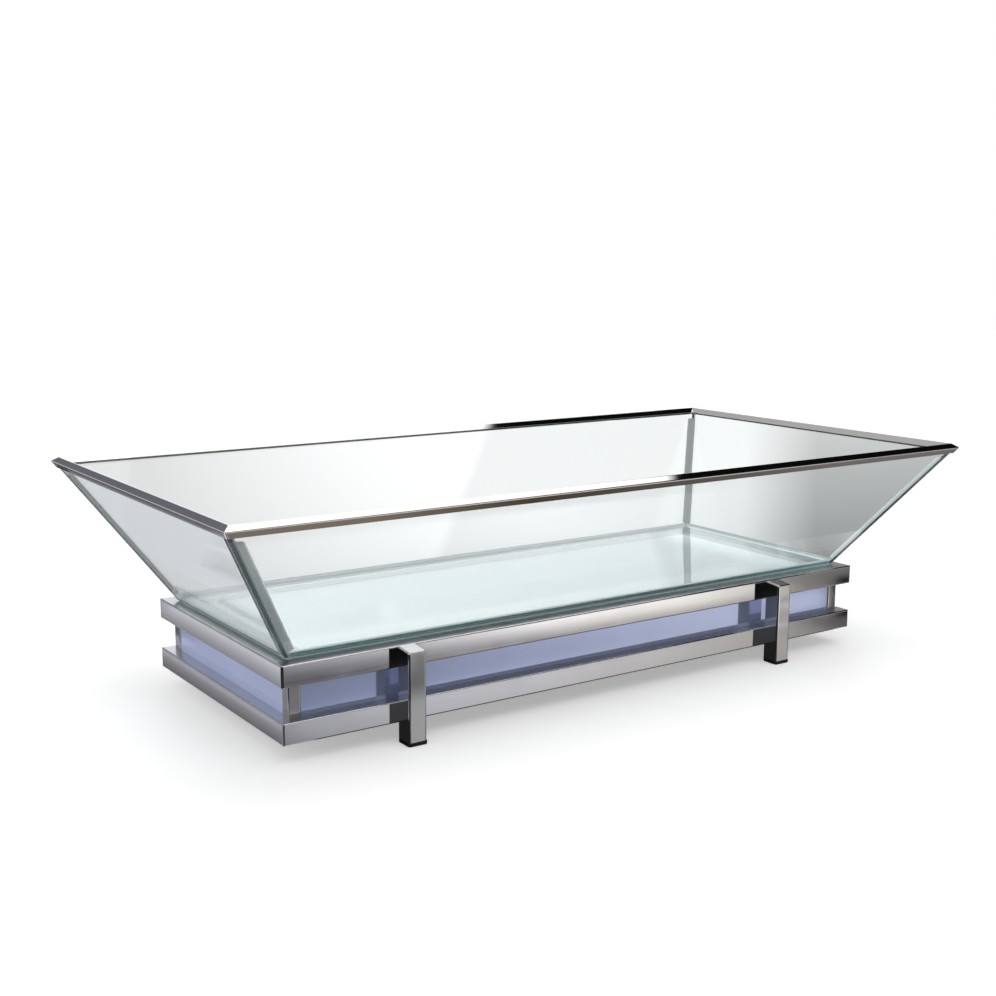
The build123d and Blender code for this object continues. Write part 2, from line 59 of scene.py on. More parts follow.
def addNode(tree, kind, values=None, **options):  # one node, its settings, its values and its links
    node = tree.nodes.new(kind)
    for name, value in options.items():
        setattr(node, name, value)
    for socket, value in (values or {}).items():
        if isinstance(value, bpy.types.NodeSocket):
            tree.links.new(value, node.inputs[socket])
        else:
            node.inputs[socket].default_value = value
    return node


def newMaterial(name):
    material = bpy.data.materials.new(name)
    material.use_nodes = True
    material.node_tree.nodes.clear()
    return material, material.node_tree


def output(tree, surface, volume=None):
    out = addNode(tree, "ShaderNodeOutputMaterial", {"Surface": surface})
    if volume:
        tree.links.new(volume, out.inputs["Volume"])


def dress(material, *names):  # a finish on CAD nodes
    for name in names:
        for slot in nodes[name].material_slots:
            slot.material = material


def newPiece(name, points, faces, materials, body, replaced, faceMaterial=None, smooth=False):
    mesh = bpy.data.meshes.new(name)
    mesh.from_pydata(points.tolist(), [], faces)
    for material in materials:
        mesh.materials.append(material)
    if faceMaterial is not None:
        mesh.polygons.foreach_set("material_index", faceMaterial)
    mesh.polygons.foreach_set("use_smooth", [smooth] * len(mesh.polygons))
    mesh.update()
    piece = bpy.data.objects.new(name, mesh)
    bpy.context.scene.collection.objects.link(piece)
    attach(piece, body)
    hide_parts(*replaced)
    return piece


# the camera stands where the photograph was taken from; angles in degrees, lens and sensor in mm
viewPoint = dict(place=(-1.24987, -1.75045, 0.64974), heading=34.395, dip=10.077, roll=0.294, lens=50.03, sensor=36,
                 clipEnd=100)


def addCamera(v):
    data = bpy.data.cameras.new("camera")
    data.sensor_width = v["sensor"]
    data.lens = v["lens"]
    data.clip_end = v["clipEnd"]
    cam = bpy.data.objects.new("camera", data)
    cam.location = v["place"]
    aim = Euler((math.radians(90 - v["dip"]), 0, math.radians(-v["heading"]))).to_quaternion()
    cam.rotation_mode = "QUATERNION"
    cam.rotation_quaternion = aim @ Quaternion((0, 0, 1), math.radians(v["roll"]))
    bpy.context.scene.collection.objects.link(cam)
    bpy.context.scene.camera = cam


addCamera(viewPoint)
print("camera set")

# colour and roughness of the two kinds, extra roughness on top by the way a tube runs, and lengths in mm
steel = dict(tube=("#cccccd", 0.032), rim=("#dedcda", 0.012), scuff=dict(X=0.26, Y=0.26, Z=0.0), topFacing=(0.90, 0.99),
             lineWidth=0.8, lineLength=96, lineDepth=0.02, lineShare=0.12, waveLength=160, waveHeight=0.05, smear=70)


def polishedStainless(name, finish, along, scuff, s):
    # stainless tube and folded channel, mirror polished on a belt: a clear reflection that wavers a little with the
    # flatness of the rolled wall, hair lines along the run, drawn coarser than they are so that they show, and faint
    # smears where it was wiped; the tops of the rails are dulled by what is set down on them
    colour, polish = finish
    material, tree = newMaterial(name)
    coords = addNode(tree, "ShaderNodeTexCoord").outputs["Object"]
    stretch = [1000 / s["lineWidth"]] * 3
    stretch["XYZ".index(along)] = 1000 / s["lineLength"]
    lineCoords = addNode(tree, "ShaderNodeMapping", {"Vector": coords, "Scale": stretch})
    lines = addNode(tree, "ShaderNodeTexNoise", {"Vector": lineCoords.outputs[0], "Scale": 1.0, "Detail": 3.0})
    smears = addNode(tree, "ShaderNodeTexNoise",
                     {"Vector": coords, "Scale": 1000 / s["smear"], "Detail": 4.0, "Roughness": 0.6})
    waves = addNode(tree, "ShaderNodeTexNoise", {"Vector": coords, "Scale": 1000 / s["waveLength"], "Detail": 1.0})
    lineRough = addNode(tree, "ShaderNodeMapRange",
                        {"Value": lines.outputs[0], "From Min": 0.35, "From Max": 0.65,
                         "To Min": polish, "To Max": 2 * polish})
    smearRough = addNode(tree, "ShaderNodeMapRange",
                         {"Value": smears.outputs[0], "From Min": 0.45, "From Max": 0.75,
                          "To Min": 0.0, "To Max": 1.2 * polish})
    rough = addNode(tree, "ShaderNodeMath", {0: lineRough.outputs[0], 1: smearRough.outputs[0]}, operation="ADD")
    if scuff:
        facing = addNode(tree, "ShaderNodeNewGeometry").outputs["Normal"]
        upward = addNode(tree, "ShaderNodeSeparateXYZ", {0: facing}).outputs["Z"]
        dulled = addNode(tree, "ShaderNodeMapRange",
                         {"Value": upward, "From Min": s["topFacing"][0], "From Max": s["topFacing"][1],
                          "To Max": scuff})
        rough = addNode(tree, "ShaderNodeMath", {0: rough.outputs[0], 1: dulled.outputs[0]}, operation="ADD")
    waveBump = addNode(tree, "ShaderNodeBump",
                       {"Height": waves.outputs[0], "Strength": 1.0, "Distance": s["waveHeight"] / 1000})
    lineBump = addNode(tree, "ShaderNodeBump",
                       {"Height": lines.outputs[0], "Strength": s["lineShare"], "Distance": s["lineDepth"] / 1000,
                        "Normal": waveBump.outputs[0]})
    shader = addNode(tree, "ShaderNodeBsdfPrincipled",
                     {"Base Color": srgb(colour), "Metallic": 1.0, "Roughness": rough.outputs[0],
                      "Normal": lineBump.outputs[0]})
    output(tree, shader.outputs[0])
    return material


glass = dict(absorb="#59d7d8", density=3.6, index=1.52, gloss=0.25, glow="#b5c9ca")


def floatGlass(name, tint, rough, glow, g):
    # soda-lime float glass: clear through its thickness, green along it, so the edges and corners go dark teal; a
    # ground edge scatters what runs inside the sheet; darker tints on some ends, corners and bevels are painted shade,
    # and the glow on the wall feet, brightest at the right end, and on the floor's right bevel is painted light in
    # place of the strips
    material, tree = newMaterial(name)
    shader = addNode(tree, "ShaderNodeBsdfPrincipled",
                     {"Base Color": srgb(tint), "Roughness": rough, "IOR": g["index"], "Specular IOR Level": g["gloss"],
                      "Transmission Weight": 1.0, "Emission Color": srgb(g["glow"]), "Emission Strength": glow})
    body = addNode(tree, "ShaderNodeVolumeAbsorption", {"Color": srgb(g["absorb"]), "Density": g["density"]})
    output(tree, shader.outputs[0], body.outputs[0])
    return material


acrylic = dict(cloud=90, cloudTone=(0.97, 1.03), index=1.49, leftX=-0.5, rightX=0.4, glowEndX=0.48)  # cloud in mm, X in m


def castAcrylic(name, colour, rough, silver, glow, a):
    # cast acrylic sheet: glossy face, colour from within, a little cloud in it; its emission is painted light standing
    # in for
    # light from behind: even, or rising along the stand from left to right and once more at the right end; the band has
    # a half-silvered back that mirrors the legs in its own colour
    material, tree = newMaterial(name)
    coords = addNode(tree, "ShaderNodeTexCoord").outputs["Object"]
    cloud = addNode(tree, "ShaderNodeTexNoise", {"Vector": coords, "Scale": 1000 / a["cloud"], "Detail": 2.0})
    value = addNode(tree, "ShaderNodeMapRange",
                    {"Value": cloud.outputs[0], "From Min": 0.3, "From Max": 0.7,
                     "To Min": a["cloudTone"][0], "To Max": a["cloudTone"][1]})
    tone = addNode(tree, "ShaderNodeHueSaturation", {"Color": srgb(colour), "Value": value.outputs[0]})
    if isinstance(glow, tuple):
        along = addNode(tree, "ShaderNodeSeparateXYZ", {0: coords}).outputs["X"]
        lit = addNode(tree, "ShaderNodeMapRange",
                      {"Value": along, "From Min": a["leftX"], "From Max": a["rightX"],
                       "To Min": glow[0], "To Max": glow[1]})
        lit = addNode(tree, "ShaderNodeMapRange",
                      {"Value": along, "From Min": a["rightX"], "From Max": a["glowEndX"],
                       "To Min": lit.outputs[0], "To Max": glow[2]})
        glow = lit.outputs[0]
    shader = addNode(tree, "ShaderNodeBsdfPrincipled",
                     {"Base Color": tone.outputs[0], "Metallic": silver, "Roughness": rough, "IOR": a["index"],
                      "Emission Color": tone.outputs[0], "Emission Strength": glow})
    output(tree, shader.outputs[0])
    return material


plastic = dict(pitDepth=0.1, pitShare=0.3, patchy=0.06)  # depth in mm, roughness more or less


def mouldedPlastic(name, colour, rough, grain, p):
    # injection-moulded plastic with a spark-eroded grain, its width in mm and drawn coarser than it is
    material, tree = newMaterial(name)
    coords = addNode(tree, "ShaderNodeTexCoord").outputs["Object"]
    pits = addNode(tree, "ShaderNodeTexNoise", {"Vector": coords, "Scale": 1000 / grain, "Detail": 2.0})
    bump = addNode(tree, "ShaderNodeBump",
                   {"Height": pits.outputs[0], "Strength": p["pitShare"], "Distance": p["pitDepth"] / 1000})
    shine = addNode(tree, "ShaderNodeMapRange",
                    {"Value": pits.outputs[0], "From Min": 0.3, "From Max": 0.7,
                     "To Min": rough - p["patchy"], "To Max": rough + p["patchy"]})
    shader = addNode(tree, "ShaderNodeBsdfPrincipled",
                     {"Base Color": srgb(colour), "Roughness": shine.outputs[0], "Normal": bump.outputs[0]})
    output(tree, shader.outputs[0])
    return material


# the ripple, its depth and the spread of light in mm
tooled = dict(ripple=12, rippleDepth=0.6, rippleShare=0.25, rough=0.32, index=1.41, spread=7, glow="#e9f3f4")


def clearSilicone(name, colour, glow, w):
    # acetoxy silicone, tooled by hand: milky, light spreads some millimetres inside it, softly glossy, not quite even;
    # its emission is painted light standing in for what the edges of the sheets it joins carry into it
    material, tree = newMaterial(name)
    coords = addNode(tree, "ShaderNodeTexCoord").outputs["Object"]
    ripple = addNode(tree, "ShaderNodeTexNoise", {"Vector": coords, "Scale": 1000 / w["ripple"], "Detail": 2.0})
    bump = addNode(tree, "ShaderNodeBump",
                   {"Height": ripple.outputs[0], "Strength": w["rippleShare"], "Distance": w["rippleDepth"] / 1000})
    shader = addNode(tree, "ShaderNodeBsdfPrincipled",
                     {"Base Color": srgb(colour), "Roughness": w["rough"], "IOR": w["index"], "Subsurface Weight": 1.0,
                      "Subsurface Radius": (1, 1, 1), "Subsurface Scale": w["spread"] / 1000,
                      "Emission Color": srgb(w["glow"]), "Emission Strength": glow, "Normal": bump.outputs[0]})
    output(tree, shader.outputs[0])
    return material


metal = dict(patchy=0.08)  # roughness more or less


def plainMetal(name, colour, rough, grain, m):
    # mill or plated metal: soft reflection, cloudy at the scale of its grain in mm
    material, tree = newMaterial(name)
    coords = addNode(tree, "ShaderNodeTexCoord").outputs["Object"]
    cloud = addNode(tree, "ShaderNodeTexNoise", {"Vector": coords, "Scale": 1000 / grain, "Detail": 5.0})
    shine = addNode(tree, "ShaderNodeMapRange",
                    {"Value": cloud.outputs[0], "From Min": 0.3, "From Max": 0.7,
                     "To Min": rough - m["patchy"], "To Max": rough + m["patchy"]})
    shader = addNode(tree, "ShaderNodeBsdfPrincipled",
                     {"Base Color": srgb(colour), "Metallic": 1.0, "Roughness": shine.outputs[0]})
    output(tree, shader.outputs[0])
    return material


tubeSteel = {axis: polishedStainless("polishedStainlessTube" + axis, steel["tube"], axis, steel["scuff"][axis], steel)
             for axis in "XYZ"}
rimSteel = {axis: polishedStainless("polishedStainlessChannel" + axis, steel["rim"], axis, 0.0, steel) for axis in "XY"}
paneGlass = floatGlass("floatGlassPolished", "#ffffff", 0.0, 0.0, glass)
edgeGlass = floatGlass("floatGlassGroundEdge", "#ffffff", 0.42, 0.0, glass)
# the polished ends, the ground corners and the floor's front and left bevels get tints darker than white: painted shade
endGlass = floatGlass("floatGlassPolishedEnd", "#aabfbf", 0.08, 0.0, glass)
groundGlass = floatGlass("floatGlassGroundCorner", "#3f5050", 0.2, 0.0, glass)
# the glow on the feet is painted light standing in for light from the strips, brighter on the right-hand wall
footGlass = floatGlass("floatGlassGroundFoot", "#ffffff", 0.42, 0.52, glass)
litFootGlass = floatGlass("floatGlassGroundFootLit", "#ffffff", 0.42, 1.1, glass)
bevelGlass = floatGlass("floatGlassShadedBevel", "#073c3f", 0.42, 0.0, glass)
# the bands' glow is painted light: rising along the front and back, even on the ends
lavenderAcrylic = {"X": castAcrylic("castAcrylicLavender", "#c0cbee", 0.08, 0.86, (0.03, 0.06, 0.06), acrylic),
                   "Y": castAcrylic("castAcrylicLavenderEnd", "#c0cbee", 0.08, 0.75, 0.22, acrylic)}
# the diffuser's glow is painted light that brightens the trough floor: it falls from left to right and rises at the
# right end
opalAcrylic = castAcrylic("castAcrylicOpal", "#e6f0f2", 0.35, 0.0, (0.33, 0.15, 0.95), acrylic)
silicone = clearSilicone("siliconeClearTooled", "#bcc5c5", 0.13, tooled)
# the corner beads are a darker copy of the silicone with a stronger painted glow, most at the front right: painted
# shade and painted light by corner
cornerGlow = dict(front_left=0.24, front_right=0.6, back_right=0.24, back_left=0.24)
cornerSilicone = {corner: clearSilicone("siliconeClearTooled_" + corner, "#545858", glow, tooled)
                  for corner, glow in cornerGlow.items()}
blackNylon = mouldedPlastic("nylonMouldedBlack", "#0d0d0e", 0.5, 0.7, plastic)
blackAbs = mouldedPlastic("absMouldedBlack", "#121213", 0.38, 0.6, plastic)
glossAbs = mouldedPlastic("absMouldedGlossBlack", "#0b0b0c", 0.16, 0.9, plastic)
sheathPvc = mouldedPlastic("pvcSheathBlack", "#151516", 0.45, 1.2, plastic)
stripWhite = mouldedPlastic("polyimideStripWhite", "#ece9e2", 0.4, 1.5, plastic)
millAluminium = plainMetal("aluminiumMillFinish", "#c9cacc", 0.32, 25, metal)
greySheet = plainMetal("zincCoatedSheet", "#a9acb0", 0.38, 18, metal)
zincSteel = plainMetal("zincPlatedSteel", "#b9b9bb", 0.25, 6, metal)
tinnedBrass = plainMetal("brassTinned", "#c7ab6c", 0.25, 4, metal)
nickel = plainMetal("nickelPlated", "#bdb8ae", 0.2, 5, metal)
print("finishes made")

for side, axis in sideAxes.items():
    dress(tubeSteel[axis], "upper_rail_" + side, "lower_rail_" + side)
    dress(rimSteel[axis], "rim_" + side)
    dress(stripWhite, "light_strip_" + side)
for corner in cornerWays:
    dress(tubeSteel["Z"], "leg_" + corner, "corner_post_" + corner)
    dress(blackNylon, "foot_" + corner)
dress(millAluminium, "diffuser_ledge_front", "diffuser_ledge_back")
dress(greySheet, "bottom_cover")
dress(zincSteel, "cover_screws")
dress(sheathPvc, "strip_links", "inlet_lead", "feed_lead", "feed_grommet")
dress(blackAbs, "switch_housing", "inlet")
dress(glossAbs, "switch_rocker")
dress(tinnedBrass, "switch_blades")
dress(nickel, "inlet_nut")
dress(silicone, "support_pads")
print("CAD nodes dressed")

solid = dict(parallel=1e-5, outside=1e-8, same=1e-6)  # how near counts as parallel, as cut off and as one place


def planeSolid(normals, offsets, n):
    # a solid is what lies behind all its planes: its corners are the points where three planes meet that no other
    # plane cuts off, and a face is the corners on its plane, taken in turn round its normal
    triples = np.array(list(itertools.combinations(range(len(normals)), 3)))
    sets = normals[triples]
    sound = np.abs(np.linalg.det(sets)) > n["parallel"]
    points = np.linalg.solve(sets[sound], offsets[triples[sound]][..., None])[..., 0]
    points = points[(points @ normals.T <= offsets + n["outside"]).all(axis=1)]
    corners = np.unique(points.round(8), axis=0)
    near = np.linalg.norm(corners[:, None] - corners[None], axis=2) < n["same"]
    corners = corners[np.argmax(near, axis=1) == np.arange(len(corners))]
    faces = []
    for normal, offset in zip(normals, offsets):
        on = np.flatnonzero(np.abs(corners @ normal - offset) < n["same"])
        spokes = corners[on] - corners[on].sum(axis=0) / max(len(on), 1)
        first = np.cross(normal, np.eye(3)[np.argmin(np.abs(normal))])
        second = np.cross(normal, first)
        faces.append(on[np.argsort(np.arctan2(spokes @ second, spokes @ first))])
    return corners, faces


def withArrises(normals, offsets, width):
    # each edge between two faces gets one more plane, square to the middle of the two, set back from the edge;
    # gives the points, the faces and the number of each face's plane
    corners, faces = planeSolid(normals, offsets, solid)
    extraNormals, extraOffsets = [], []
    for a, b in itertools.combinations(range(len(normals)), 2):
        shared = np.intersect1d(faces[a], faces[b])
        if len(shared) < 2:
            continue
        middle = normals[a] + normals[b]
        middle = middle / np.linalg.norm(middle)
        back = width * math.sin(math.acos(np.clip(normals[a] @ normals[b], -1, 1)) / 2)
        extraNormals.append(middle)
        extraOffsets.append(corners[shared[0]] @ middle - back)
    allNormals = np.vstack([normals, extraNormals])
    allOffsets = np.concatenate([offsets, extraOffsets])
    points, faces = planeSolid(allNormals, allOffsets, solid)
    kept = [(face.tolist(), index) for index, face in enumerate(faces) if len(face) > 2]
    return points, [face for face, _ in kept], [index for _, index in kept]


def turnedBy(points, degrees):
    c, s = math.cos(math.radians(degrees)), math.sin(math.radians(degrees))
    return points @ np.array([[c, s, 0], [-s, c, 0], [0, 0, 1]])


trough = dict(halfX=0.508, halfY=0.186, bottom=0.1345, thick=0.010, tilt=33.5, slope=0.2435, gap=0.0003,
              dub=0.006, arris=0.0012, footArris=0.0017)


def wallPlanes(run, out, isEnd, t):
    # a wall at the front: outer and inner face, level foot, square top, and ends cut to the slope of its neighbours;
    # the long walls also have their top corners nipped and their outer corners ground off; the outer edge of the foot
    # is ground off last, square to the middle of face and foot
    s, c = math.sin(math.radians(t["tilt"])), math.cos(math.radians(t["tilt"]))
    foot = np.array([0, -out, t["bottom"]])
    normals = [(0, -c, -s), (0, c, s), (0, 0, -1), (0, -s, c)]
    through = [foot, foot, foot, foot]
    shift = [0, t["thick"], 0, t["slope"]]
    for way in (-1, 1):
        end = np.array([way * run, -out, t["bottom"]])
        normals.append((way * c, 0, -s))
        through.append(end)
        shift.append(-(t["thick"] + t["gap"]) if isEnd else 0)
        if not isEnd:
            spread = math.sqrt(c * c + 2 * s * s)
            normals += [(way * s, 0, c), np.array((way * c, -c, -2 * s)) / (math.sqrt(2) * spread)]
            through += [end, end]
            shift += [t["slope"], -t["dub"] * c / (math.sqrt(2) * spread)]
    groundWay = np.array([0, -c, -s - 1]) / math.sqrt(2 + 2 * s)
    normals.append(groundWay)
    through.append(foot)
    shift.append(-(t["arris"] if isEnd else t["footArris"]) * math.sqrt((1 - s) / 2))
    normals = np.array(normals, float)
    return normals, np.einsum("ij,ij->i", normals, np.array(through)) + np.array(shift)


def floorPlanes(t):
    # the floor plate: level faces, and four edges bevelled to the slope of the walls, one bond gap off them
    s, c = math.sin(math.radians(t["tilt"])), math.cos(math.radians(t["tilt"]))
    normals = [(0, 0, -1), (0, 0, 1), (0, -c, -s), (0, c, -s), (-c, 0, -s), (c, 0, -s)]
    inset = t["thick"] + t["gap"]
    low = t["bottom"]
    offsets = [-low, low + t["thick"]] + [c * half - s * low - inset for half in
                                          (t["halfY"], t["halfY"], t["halfX"], t["halfX"])]
    return np.array(normals, float), np.array(offsets)


# a pane's finishes by number: the faces, the arrises and top, the foot, the ends and the ground corners
face, arris, foot, end, ground = range(5)
for side, turn in sideTurns.items():
    isEnd = sideAxes[side] == "Y"
    run, out = (trough["halfY"], trough["halfX"]) if isEnd else (trough["halfX"], trough["halfY"])
    normals, offsets = wallPlanes(run, out, isEnd, trough)
    points, faces, planes = withArrises(normals, offsets, trough["arris"])
    # the ends and ground corners of the long walls take the darker tints, which are painted shade
    finishes = {0: face, 1: face, 2: foot, len(normals) - 1: foot}  # planes in the order of wallPlanes
    if not isEnd:
        finishes.update({4: end, 7: end, 6: ground, 9: ground})
    # the right-hand wall's foot gets the brighter painted glow
    paneFoot = litFootGlass if side == "right" else footGlass
    newPiece("pane_" + side, turnedBy(points, turn), faces, [paneGlass, edgeGlass, paneFoot, endGlass, groundGlass],
             "trough", ["glass_" + side], [finishes.get(plane, arris) for plane in planes])

# the floor's finishes by number, and its planes: two faces, bevels at the front and left darkened as painted shade, one
# at the right with a painted glow
face, shadedBevel, arris, lit = range(4)
finishes = {0: face, 1: face, 2: shadedBevel, 4: shadedBevel, 5: lit}
points, faces, planes = withArrises(*floorPlanes(trough), trough["arris"])
newPiece("pane_floor", points, faces, [paneGlass, bevelGlass, edgeGlass, litFootGlass],
         "trough", ["glass_floor"], [finishes.get(plane, arris) for plane in planes])
print("glass panes made")

sheets = dict(edge=0.0004)


def boxSheet(name, node, material, edge):
    # a flat sheet that fills its node's box, with its edges taken off
    low, high = (np.array(corner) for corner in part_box(node))
    normals = np.vstack([np.eye(3), -np.eye(3)])
    points, faces, _ = withArrises(normals, np.concatenate([high, -low]), edge)
    newPiece(name, points, faces, [material], "stand", [node])


for side, axis in sideAxes.items():
    boxSheet("band_" + side, "light_panel_" + side, lavenderAcrylic[axis], sheets["edge"])
boxSheet("diffuserSheet", "diffuser", opalAcrylic, sheets["edge"])
print("acrylic sheets made")

seal = dict(floorLeg=0.0045, cornerLeg=0.0090, hollow=0.0012, uneven=0.025, waves=(5, 13, 29), waveSum=1.8,
            bite=0.0001, start=0.002, drop=0.007, rimDepth=0.011, rimSlope=0.245, tip=0.006, tipTurn=(0.15, 1.5),
            tipLoss=0.96, faceSteps=8, runSteps=160, riseSteps=120, tipSteps=9, floorSeed=3, cornerSeed=10)


def ringFaces(rows, columns, closed):
    # quads between neighbouring rows of a grid whose columns run round a closed section
    index = np.arange(rows * columns).reshape(rows, columns)
    nextRow = np.roll(index, -1, axis=0) if closed else index[1:]
    thisRow = index if closed else index[:-1]
    quads = np.stack([thisRow, np.roll(thisRow, -1, axis=1), np.roll(nextRow, -1, axis=1), nextRow], axis=-1)
    return quads.reshape(-1, 4).tolist()


def hollowSection(steps, depth, leg):
    # a seal's section in shares of its two legs: along the drawn-in face from one leg's end to the other's, then the
    # corner; the face is the straight line between the ends, pulled towards the corner by a parabola
    share = np.linspace(0, 1, steps)
    pull = 4 * share * (1 - share) * depth / leg
    first = (1 - share) * (1 - pull)
    second = share * (1 - pull)
    return np.append(first, 0.0), np.append(second, 0.0)


def unevenness(count, b, seed):
    # one plus a sum of three slow waves round the run, each weaker than the one before, the same at both ends
    phase = np.linspace(0, 2 * np.pi, count, endpoint=False)
    offsets = np.random.default_rng(seed).uniform(0, 2 * np.pi, 3)
    waves = sum(np.sin(k * phase + o) / n for n, (k, o) in enumerate(zip(b["waves"], offsets), 1))
    return 1 + b["uneven"] * waves / b["waveSum"]


def floorBead(t, b):
    # the section is carried round the foot of the walls: on each side a point runs straight from one corner to the
    # next, and at a corner it stands on the line where two walls meet
    s, c = math.sin(math.radians(t["tilt"])), math.cos(math.radians(t["tilt"]))
    top = t["bottom"] + t["thick"] - b["bite"]
    inward = (t["thick"] - b["bite"] - s * (top - t["bottom"])) / c
    flat, steep = hollowSection(b["faceSteps"], b["hollow"], b["floorLeg"])
    signs = np.array([(-1, -1), (1, -1), (1, 1), (-1, 1)], float)
    runs = np.linspace(0, 1, b["runSteps"], endpoint=False)
    swell = unevenness(4 * b["runSteps"], b, b["floorSeed"]).reshape(4, -1, 1) * b["floorLeg"]
    inset = inward + flat * swell - steep * swell * s
    height = top + steep * swell * c
    here, there = signs[:, None, None, :], np.roll(signs, -1, axis=0)[:, None, None, :]
    halves = np.stack([t["halfX"] - inset, t["halfY"] - inset], axis=-1)
    share = runs[None, :, None, None]
    plan = halves * (here * (1 - share) + there * share)
    points = np.concatenate([plan, height[..., None]], axis=-1).reshape(-1, 3)
    return points, ringFaces(4 * b["runSteps"], len(flat), True)


def cornerBead(wayX, wayY, t, b, seed):
    # the section is carried up the line where two walls meet, and shrinks to nothing in a round tip below the rim
    s, c = math.sin(math.radians(t["tilt"])), math.cos(math.radians(t["tilt"]))
    spread = math.sqrt(c * c + 2 * s * s)
    up = np.array([wayX * s, wayY * s, c]) / spread
    inset = (t["thick"] - b["bite"]) / c
    foot = np.array([wayX * (t["halfX"] - inset), wayY * (t["halfY"] - inset), t["bottom"]])
    legs = []
    for way in (np.array([-wayX, 0, 0.0]), np.array([0, -wayY, 0.0])):
        leg = way - up * (way @ up)
        legs.append(leg / np.linalg.norm(leg))
    if np.cross(legs[0], legs[1]) @ up < 0:
        legs.reverse()
    low = (t["thick"] + b["start"]) * spread / c
    high = (b["rimSlope"] - b["rimDepth"] - b["drop"]) * spread
    tipFoot = high - b["tip"]
    rise = np.linspace(low, tipFoot, b["riseSteps"])
    tip = high - b["tip"] * np.cos(np.linspace(*b["tipTurn"], b["tipSteps"]))
    along = np.sort(np.append(rise, tip))
    tipShare = np.clip((along - tipFoot) / b["tip"], 0, 1)
    size = b["cornerLeg"] * np.sqrt(1 - tipShare ** 2 * b["tipLoss"]) * unevenness(len(along), b, seed)
    first, second = hollowSection(b["faceSteps"], b["hollow"], b["cornerLeg"])
    points = (foot + along[:, None, None] * up
              + size[:, None, None] * (first[:, None] * legs[0] + second[:, None] * legs[1]))
    columns = len(first)
    faces = ringFaces(len(along), columns, False)
    faces += [list(range(columns))[::-1], list(range((len(along) - 1) * columns, len(along) * columns))]
    return points.reshape(-1, 3), faces


points, faces = floorBead(trough, seal)
newPiece("bead_floor", points, faces, [silicone], "trough", ["floor_seal"], smooth=True)
for number, (corner, (wayX, wayY)) in enumerate(cornerWays.items()):
    points, faces = cornerBead(wayX, wayY, trough, seal, seal["cornerSeed"] + number)
    newPiece("bead_" + corner, points, faces, [cornerSilicone[corner]],
             "trough", ["corner_seal_" + corner], smooth=True)
print("silicone beads made")

paleFloor = dict(half=9, colour="#f6f6f5", rough=0.6, lift=0.42)


def addFloor(p):
    h = p["half"]
    mesh = bpy.data.meshes.new("floor")
    mesh.from_pydata([(-h, -h, 0), (h, -h, 0), (h, h, 0), (-h, h, 0)], [], [(0, 1, 2, 3)])
    material, tree = newMaterial("paintedFloor")
    shader = addNode(tree, "ShaderNodeBsdfPrincipled",
                     {"Base Color": srgb(p["colour"]), "Roughness": p["rough"],
                      "Emission Color": srgb(p["colour"]), "Emission Strength": p["lift"]})
    output(tree, shader.outputs[0])
    mesh.materials.append(material)
    floor = bpy.data.objects.new("floor", mesh)
    bpy.context.scene.collection.objects.link(floor)
    floor.visible_glossy = floor.visible_transmission = False  # reflections see the boards, the glass sees the sky


def mixed(first, second, share):  # linear colours between two, by an array of shares
    share = np.clip(np.asarray(share, float), 0, 1)[..., None]
    return np.array(srgb(first)[:3]) * (1 - share) + np.array(srgb(second)[:3]) * share


def addBoard(name, xStops, yStops, depth, tint, light):
    # a sheet of light under the floor that only mirror reflections see; its light is given where the stops cross
    x, y = np.broadcast_arrays(xStops, np.asarray(yStops)[:, None])
    points = np.stack([x, y, np.full(x.shape, -depth)], axis=-1).reshape(-1, 3)
    index = np.arange(x.size).reshape(x.shape)
    quads = np.stack([index[:-1, :-1], index[:-1, 1:], index[1:, 1:], index[1:, :-1]], axis=-1).reshape(-1, 4)
    mesh = bpy.data.meshes.new(name)
    mesh.from_pydata(points.tolist(), [], quads.tolist())
    shade = np.ones(x.shape + (4,))
    shade[..., :3] = np.broadcast_to(light, x.shape)[..., None] * tint
    mesh.attributes.new("light", "FLOAT_COLOR", "POINT").data.foreach_set("color", shade.ravel())
    material, tree = newMaterial(name + "Glow")
    value = addNode(tree, "ShaderNodeAttribute", attribute_name="light")
    glow = addNode(tree, "ShaderNodeEmission", {"Color": value.outputs["Color"]})
    output(tree, glow.outputs[0])
    mesh.materials.append(material)
    board = bpy.data.objects.new(name, mesh)
    bpy.context.scene.collection.objects.link(board)
    board.visible_camera = board.visible_diffuse = board.visible_transmission = board.visible_shadow = False


frontLight = dict(
    depth=0.5, cool="#f6f6ff", warm="#fffaf5", warmFrom=0.4, warmOver=1.2, rightFrom=0.9, rightOver=1.0,
    x=[-6, -2.6, -2.0, -1.75, -0.8, -0.1, 0.2, 0.5, 0.9, 1.25, 1.7, 1.9, 2.0, 2.15, 2.25, 2.33, 2.5, 6],
    near=[0.02, 0.02, 0.02, 0.12, 0.12, 0.05, 0.62, 0.85, 0.92, 0.86, 0.66, 0.44, 0.19, 0.15, 0.15, 0.15, 0.15, 0.3],
    middle=[0.02, 0.02, 0.02, 0.1, 0.1, 0.2, 0.25, 0.33, 0.44, 0.53, 0.70, 0.78, 0.8, 0.84, 0.86, 0.86, 0.9, 0.9],
    far=[0.02, 0.02, 0.02, 0.01, 0.01, 0.01, 0.3, 0.60, 1.12, 1.62, 1.58, 1.45, 1.32, 1.12, 0.76, 0.40, 0.28, 0.3],
    y=[-9, -2.3, -2.08, -2.0, -1.93, -1.90, -1.875, -1.69, -1.66, -1.5, -1.3, -1.1],
    nearShare=[0, 0, 0, 0, 0, 0, 0, 0, 1.04, 0.85, 0.6, 0.15],
    middleShare=[0, 0, 0, 0, 0, 0.5, 1, 1, 0, 0, 0, 0],
    farShare=[0.8, 1, 1, 0.54, 0.29, 0.12, 0, 0, 0, 0, 0, 0],
    farRight=[0, 0, 0, 0.30, 0.09, 0.06, 0, 0, 0, 0, 0, 0])


